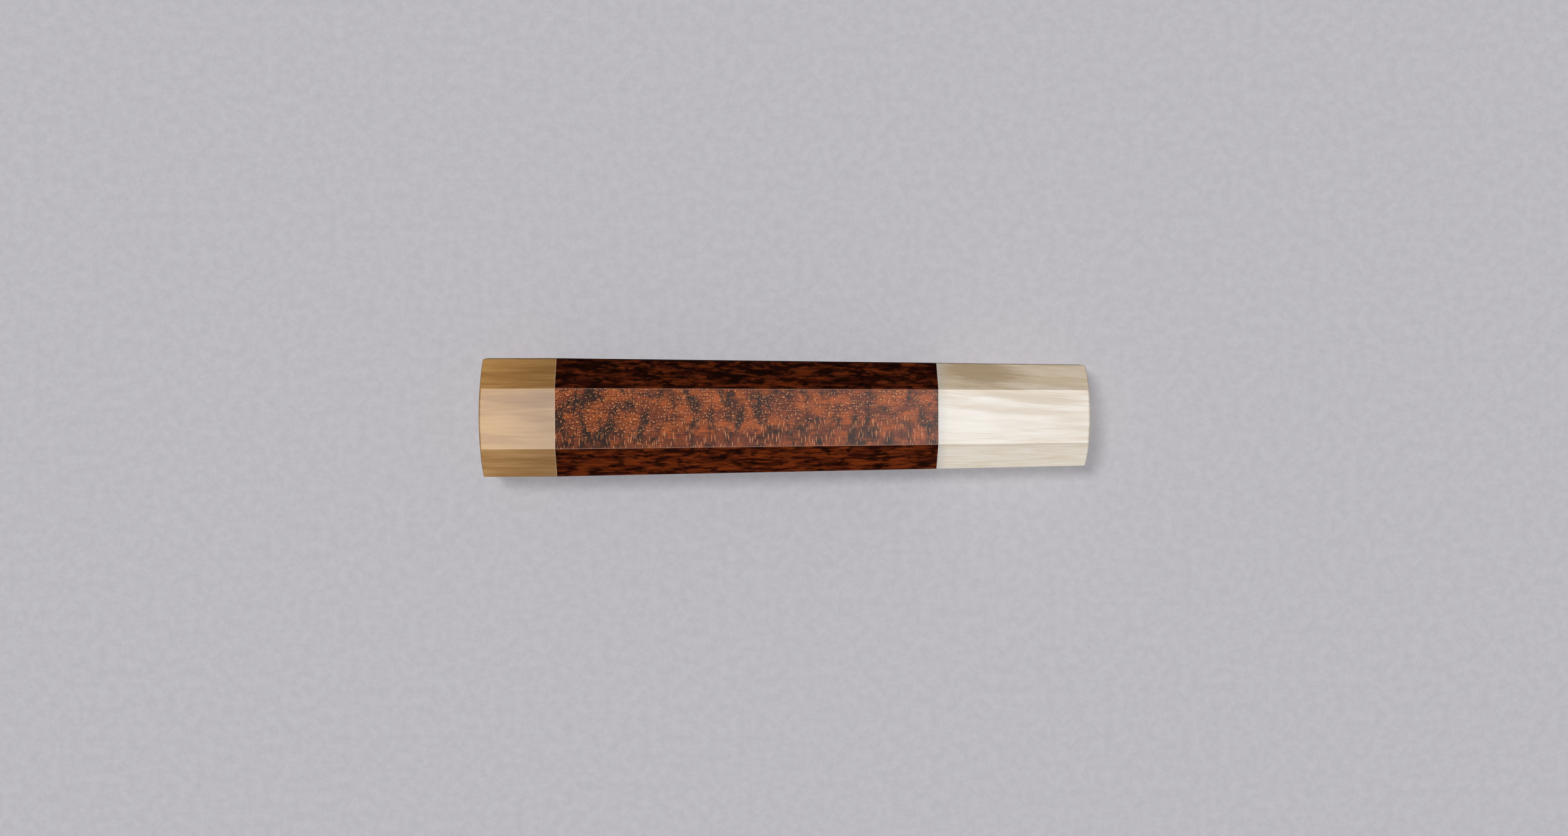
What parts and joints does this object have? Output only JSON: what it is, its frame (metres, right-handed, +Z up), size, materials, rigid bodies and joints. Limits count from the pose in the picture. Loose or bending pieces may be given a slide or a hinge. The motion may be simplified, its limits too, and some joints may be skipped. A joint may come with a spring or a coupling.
{
  "type": "knife handle",
  "caption": "Octagonal tapered knife handle: flecked snakewood body between a tan horn end cap and a cream horn ferrule, with a slotted dowel core for a thin tang.",
  "frame": {"origin": "centre of the footprint, on the plane the handle lies on", "axes": "+X along the handle towards the ferrule and the blade, +Y across the two wide flats, +Z up out of the upper wide flat. The handle lies on its lower wide flat, so the bore axis dips 0.83 degrees towards the ferrule."},
  "size_m": [0.1352, 0.026, 0.0223],
  "materials": {
    "cap_horn": "satin",
    "snakewood": "satin",
    "ferrule_horn": "satin",
    "dowel_wood": "matte"
  },
  "bodies": {
    "root": {"end_cap": "cap_horn", "handle_body": "snakewood", "ferrule": "ferrule_horn", "core_dowel": "dowel_wood"}
  },
  "joints": []
}
